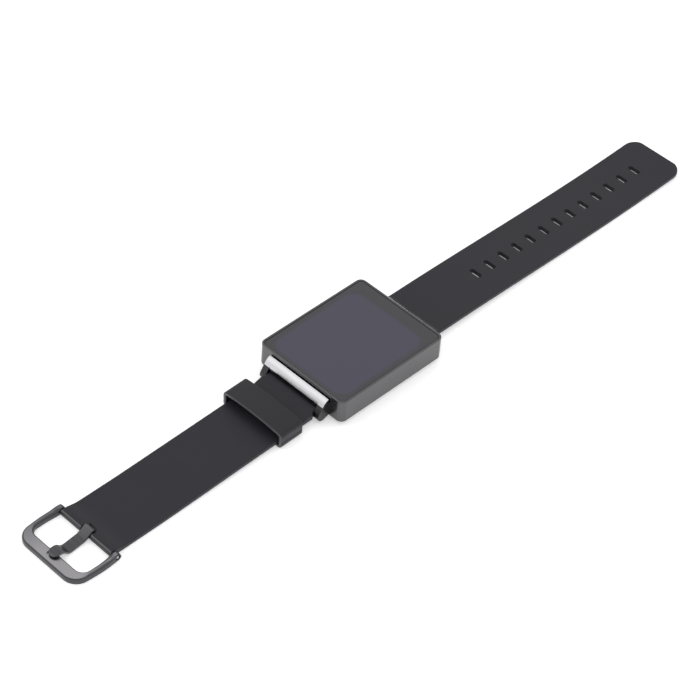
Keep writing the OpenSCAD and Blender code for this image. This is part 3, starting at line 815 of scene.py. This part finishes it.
def make_tongue():
    """Tongue wrapped about the spring bar, which falls straight and steps up onto the outer bar."""
    rise, thick, yaw, back = 0.75, 1.15, -0.035, 1.5
    rest, tip = FRAME_TOP + 0.1, BAR_IN + 2.4
    top_z = PIN.z + rise + EYE_R
    line = [(PIN.y - 2, top_z), (PIN.y - 0.2, top_z), (PIN.y + 2.6, 0.55 + thick),
            (BAR_IN - 4.2, 0.15 + thick), (BAR_IN - 3.4, 0.15 + thick), (BAR_IN - 1.2, rest + thick),
            (tip + 2, rest + thick)]
    stations = []
    for i in range(10):
        angle = math.radians(2 + 88 * i / 10)
        top = PIN.z + (rise + EYE_R) * math.sin(angle) ** 0.5
        low = PIN.z - EYE_R * math.sin(angle)
        stations.append((PIN.y - back * math.cos(angle), TONGUE_HALF, low, top, 0.3))
    for y in spread(PIN.y, tip, 60):
        top = bent(y, line, 0.8)
        wrap = PIN.z - math.sqrt(max(0.0, EYE_R ** 2 - (y - PIN.y) ** 2))
        low = min(top - thick, wrap) if y < PIN.y + EYE_R else top - thick
        past = max(0.0, y - tip + TONGUE_HALF)
        half = 0.5 + (TONGUE_HALF - 0.5) * math.sqrt(max(0.0, 1 - (past / TONGUE_HALF) ** 2))
        stations.append((y, half, low, top - 0.25 * ease(past / TONGUE_HALF), 0.3))
    tongue = slab("buckle_tongue_detail", stations)
    for vertex in tongue.data.vertices:
        vertex.co.x += yaw * (vertex.co.y - PIN.y)
    combine(tongue, turned("bore", [(-5, TUNNEL_R), (5, TUNNEL_R)], (PIN.y, PIN.z)))
    return dress(tongue, "tongue", "buckle_tongue", [LOOK["tongue"]], sharp=50)


# ---- Coils of the spring bars ----

def make_coil(bar, centre, side):
    """Half of a spring bar's coil, from its middle to the tip on one side; side is 1 at +X."""
    half, turns, steps, wire, reach, gap = 5.9, 4, 20, 0.08, 0.38, 0.02
    end = ("left", "right")[side > 0]
    rise = side * (half - gap) / math.radians(360 * turns)
    rings = []
    for i in range(turns * steps + 1):
        turn = math.radians(360 * i / steps)
        out = Vector((0, math.cos(turn), math.sin(turn)))
        along = Vector((rise, -reach * math.sin(turn), reach * math.cos(turn))).normalized()
        middle = Vector((side * gap + rise * turn, *centre)) + reach * out
        rings.append([middle + wire * (u * out + v * along.cross(out))
                      for u, v in arc((0, 0), 1, 0, 360, 8)[:-1]])
    coil = loft(f"{bar}_spring_{end}_detail", rings)
    finish_mesh(coil, [LOOK["steel"]], 38)
    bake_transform(coil)
    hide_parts(f"{bar}_spring")


# ---- CAD pieces that keep their shape ----

FINISHES = {
    "seal": ("glass_gasket", "back_gasket"), "panel": ("display_panel",), "flex": ("display_flex",),
    "carrier": ("board_carrier",), "board": ("main_board",), "chip": ("motion_sensor",),
    "foil": ("battery",),
    "steel": ("processor_shield", "board_screws", "vibration_motor", "case_screws", "lug_screws",
              *(f"{place}_{part}" for place in ("buckle_lug", "free_lug")
                for part in ("bar", "tip_left", "tip_right")),
              "buckle_bar_tube", "buckle_bar_tip_left", "buckle_bar_tip_right"),
}


def paint_frame():
    """Gives every CAD piece that stays in view its finish."""
    for look, nodes in FINISHES.items():
        for node in nodes:
            mesh = frame["nodes"][node].data
            mesh.materials.clear()
            mesh.materials.append(LOOK[look])


# ---- Studio ----

def make_camera():
    """The camera stands on the 9 o'clock side, beyond the buckle, and looks down at the case.

    Its place was solved from the edges of the case and the straps in the photo."""
    azimuth, elevation, roll = (math.radians(a) for a in (221.69, 44.09, 4.67))
    distance = 0.78446
    target = Vector((3.78, -3.64, 0.235)) * MM
    back = Vector((math.sin(azimuth) * math.cos(elevation),
                   -math.cos(azimuth) * math.cos(elevation), math.sin(elevation)))
    right = (-back).cross(Vector((0, 0, 1))).normalized()
    up = right.cross(-back)
    side = right * math.cos(roll) + up * math.sin(roll)
    top = up * math.cos(roll) - right * math.sin(roll)
    data = bpy.data.cameras.new("camera")
    data.sensor_width = 36
    data.lens = 123.9
    data.clip_start, data.clip_end = 0.01, 20
    camera = bpy.data.objects.new("camera", data)
    SCENE.collection.objects.link(camera)
    turn = Matrix((side, top, back)).transposed().to_4x4()
    camera.matrix_world = Matrix.Translation(target + back * distance) @ turn
    SCENE.camera = camera


def softbox(name, direction, size, brightness):
    """Square area light at a distance from the case in a direction, of an even brightness."""
    distance = 1.6
    data = bpy.data.lights.new(name, "AREA")
    data.shape = "SQUARE"
    data.size = size
    data.energy = brightness * math.pi * size ** 2
    light = bpy.data.objects.new(name, data)
    SCENE.collection.objects.link(light)
    away = Vector(direction).normalized()
    turn = away.to_track_quat("Z", "Y").to_matrix().to_4x4()
    light.matrix_world = Matrix.Translation(away * distance) @ turn


def make_studio():
    """Softly lit white floor under an even dome, with a large softbox above."""
    SCENE.view_settings.view_transform = "Standard"
    world = bpy.data.worlds.new("dome")
    SCENE.world = world
    world.use_nodes = True
    background = world.node_tree.nodes["Background"]
    background.inputs["Color"].default_value = (1, 1, 1, 1)
    background.inputs["Strength"].default_value = 0.92
    softbox("top_box", (0.5, 0.45, 0.75), 1.0, 0.5)
    half, glow = 8, 0.40
    floor = loft("floor", [[(-half, -half, z), (half, -half, z), (half, half, z), (-half, half, z)]
                           for z in (-0.02, 0)])
    paper = surface("paper", (0.94, 0.94, 0.94), 0.7, grain=0.5, depth=0.0, tone=0.0)
    shader = paper.node_tree.nodes["Principled BSDF"]
    shader.inputs["Emission Color"].default_value = (1, 1, 1, 1)
    shader.inputs["Emission Strength"].default_value = glow
    floor.data.materials.append(paper)


make_camera()
make_studio()
paint_frame()
make_case()
make_glass()
make_back_cover()
make_contacts()
make_lug("buckle_side_lug_detail", 1)
make_lug("free_side_lug_detail", -1)
make_buckle_strap()
make_free_strap()
make_keeper()
make_buckle()
make_tongue()
for side in (-1, 1):
    make_coil("buckle_lug", (BAR.y, BAR.z), side)
    make_coil("free_lug", (-BAR.y, BAR.z), side)
    make_coil("buckle_bar", (PIN.y, PIN.z), side)
